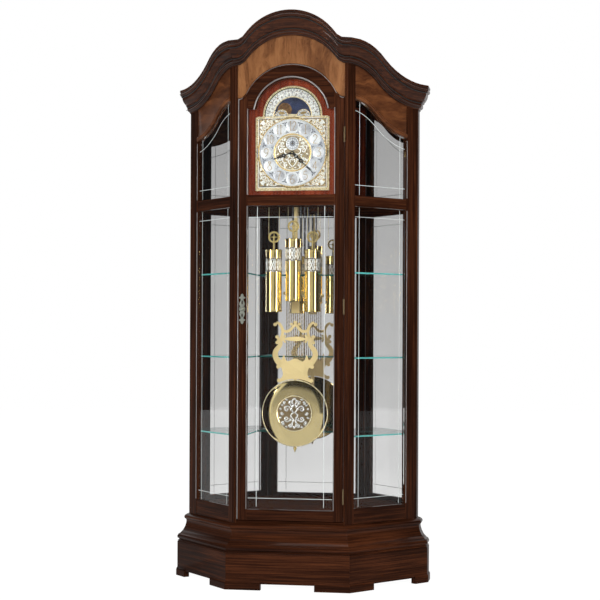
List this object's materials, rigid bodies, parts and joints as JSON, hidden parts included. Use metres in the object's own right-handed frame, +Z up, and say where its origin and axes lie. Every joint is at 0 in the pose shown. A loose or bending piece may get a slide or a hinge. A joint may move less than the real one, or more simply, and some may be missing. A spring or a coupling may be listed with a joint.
{
  "type": "curio floor clock",
  "caption": "Floor clock in a five-sided glazed display case, with an arched full-length door, side shelves, a lyre pendulum and cable-hung weights.",
  "frame": {"origin": "on the floor, at the middle of the overall width and depth", "axes": "+Z up, +X to the right as seen from the front; the dial faces -Y"},
  "size_m": [1.0576, 0.419, 2.29],
  "materials": {
    "case_wood": "dark red-brown cherry, satin lacquer",
    "burl": "golden-brown burl veneer, satin lacquer",
    "dial_wood": "red-brown veneer, satin lacquer",
    "plain_board": "plain stained board",
    "glass": "clear polished",
    "mirror": "silvered mirror",
    "brass": "polished",
    "satin_brass": "satin",
    "silvered": "silvered, satin",
    "black": "black enamel",
    "night_blue": "dark blue enamel",
    "iron": "black",
    "steel": "bright",
    "antique_brass": "antique satin"
  },
  "bodies": {
    "case": {"back_mirror": "mirror", "back_panel": "plain_board", "base_moulding": "case_wood", "cable_centre": "brass", "cable_left": "brass", "cable_right": "brass", "chapter_ring": "silvered", "chime_rods": "iron", "cornice_front": "case_wood", "cornice_left": "case_wood", "cornice_right": "case_wood", "dial_plate": "satin_brass", "dial_surround": "dial_wood", "floor_board": "case_wood", "frieze_front": "burl", "frieze_left": "burl", "frieze_right": "burl", "hinge_bottom": "satin_brass", "hinge_middle": "satin_brass", "hinge_top": "satin_brass", "mid_board": "case_wood", "movement": "brass", "plinth_front": "case_wood", "plinth_left": "case_wood", "plinth_right": "case_wood", "roof_board": "case_wood", "seatboard": "case_wood", "shelf_high_left": "glass", "shelf_high_right": "glass", "shelf_low_left": "glass", "shelf_low_right": "glass", "shelf_middle_left": "glass", "shelf_middle_right": "glass", "side_frame_left": "case_wood", "side_frame_right": "case_wood", "side_glass_lower_left": "glass", "side_glass_lower_right": "glass", "side_glass_upper_left": "glass", "side_glass_upper_right": "glass"},
    "door": {"door_frame": "case_wood", "door_glass_lower": "glass", "door_glass_upper": "glass", "door_pull": "antique_brass"},
    "pendulum": {"pendulum_lyre": "satin_brass", "pendulum_bob": "brass"},
    "rating_nut": {"rating_nut": "brass"},
    "minute_hand": {"minute_hand": "black"},
    "hour_hand": {"hour_hand": "black"},
    "second_hand": {"second_hand": "black"},
    "moon_disc": {"moon_disc": "night_blue"},
    "chime_hammers": {"chime_hammers": "brass"},
    "strike_hammer": {"strike_hammer": "brass"},
    "chime_lever": {"chime_lever": "steel"},
    "silence_lever": {"silence_lever": "steel"},
    "weight_left": {"weight_left": "brass"},
    "pulley_left": {"pulley_left": "brass"},
    "weight_centre": {"weight_centre": "brass"},
    "pulley_centre": {"pulley_centre": "brass"},
    "weight_right": {"weight_right": "brass"},
    "pulley_right": {"pulley_right": "brass"}
  },
  "joints": [
    {"name": "door_hinge", "type": "hinge", "parent": "case", "child": "door", "pos_m": [0.2147, -0.1627, 1.12], "axis": [0, 0, 1], "range_deg": [0, 110]},
    {"name": "pendulum_swing", "type": "hinge", "parent": "case", "child": "pendulum", "pos_m": [0, -0.0305, 1.659], "axis": [0, 1, 0], "range_deg": [-2.4, 2.4]},
    {"name": "rating_nut_turn", "type": "hinge", "parent": "pendulum", "child": "rating_nut", "pos_m": [0, -0.03035, 0.54], "axis": [0, 0, 1], "continuous": true},
    {"name": "minute_hand_turn", "type": "hinge", "parent": "case", "child": "minute_hand", "pos_m": [0, -0.1285, 1.735], "axis": [0, 1, 0], "continuous": true},
    {"name": "hour_hand_turn", "type": "hinge", "parent": "case", "child": "hour_hand", "pos_m": [0, -0.1255, 1.735], "axis": [0, 1, 0], "continuous": true},
    {"name": "second_hand_turn", "type": "hinge", "parent": "case", "child": "second_hand", "pos_m": [0, -0.1225, 1.771], "axis": [0, 1, 0], "continuous": true},
    {"name": "moon_disc_turn", "type": "hinge", "parent": "case", "child": "moon_disc", "pos_m": [0, -0.1168, 1.881], "axis": [0, 1, 0], "continuous": true},
    {"name": "weight_left_travel", "type": "slide", "parent": "case", "child": "weight_left", "axis": [0, 0, 1], "range_m": [-0.76, 0.05], "deforming": ["cable_left"]},
    {"name": "pulley_left_turn", "type": "hinge", "parent": "weight_left", "child": "pulley_left", "pos_m": [-0.0785, -0.0905, 1.4], "axis": [0, 1, 0], "continuous": true},
    {"name": "weight_centre_travel", "type": "slide", "parent": "case", "child": "weight_centre", "axis": [0, 0, 1], "range_m": [-0.8, 0.03], "deforming": ["cable_centre"]},
    {"name": "pulley_centre_turn", "type": "hinge", "parent": "weight_centre", "child": "pulley_centre", "pos_m": [0, -0.0905, 1.443], "axis": [0, 1, 0], "continuous": true},
    {"name": "weight_right_travel", "type": "slide", "parent": "case", "child": "weight_right", "axis": [0, 0, 1], "range_m": [-0.76, 0.05], "deforming": ["cable_right"]},
    {"name": "pulley_right_turn", "type": "hinge", "parent": "weight_right", "child": "pulley_right", "pos_m": [0.0785, -0.0905, 1.4], "axis": [0, 1, 0], "continuous": true},
    {"name": "chime_hammers_strike", "type": "hinge", "parent": "case", "child": "chime_hammers", "pos_m": [0, 0.0345, 1.695], "axis": [1, 0, 0], "range_deg": [-3.4, 12], "stiffness_Nm_per_rad": 1, "springref_deg": 2.01},
    {"name": "strike_hammer_strike", "type": "hinge", "parent": "case", "child": "strike_hammer", "pos_m": [0, 0.0345, 1.695], "axis": [1, 0, 0], "range_deg": [-3.4, 12], "stiffness_Nm_per_rad": 0.25, "springref_deg": 2.01},
    {"name": "chime_lever_turn", "type": "hinge", "parent": "case", "child": "chime_lever", "pos_m": [0.07, -0.1171, 1.735], "axis": [0, 1, 0], "range_deg": [-12, 12]},
    {"name": "silence_lever_turn", "type": "hinge", "parent": "case", "child": "silence_lever", "pos_m": [-0.07, -0.1171, 1.735], "axis": [0, 1, 0], "range_deg": [-12, 12]}
  ],
  "couplings": [
    {"joint": "hour_hand_turn", "follows": "minute_hand_turn", "ratio": 0.083333},
    {"joint": "second_hand_turn", "follows": "minute_hand_turn", "ratio": 60},
    {"joint": "moon_disc_turn", "follows": "minute_hand_turn", "ratio": 0.00070621},
    {"joint": "pulley_left_turn", "follows": "weight_left_travel", "rad_per_m": -46.948},
    {"joint": "pulley_centre_turn", "follows": "weight_centre_travel", "rad_per_m": -46.948},
    {"joint": "pulley_right_turn", "follows": "weight_right_travel", "rad_per_m": -46.948}
  ]
}
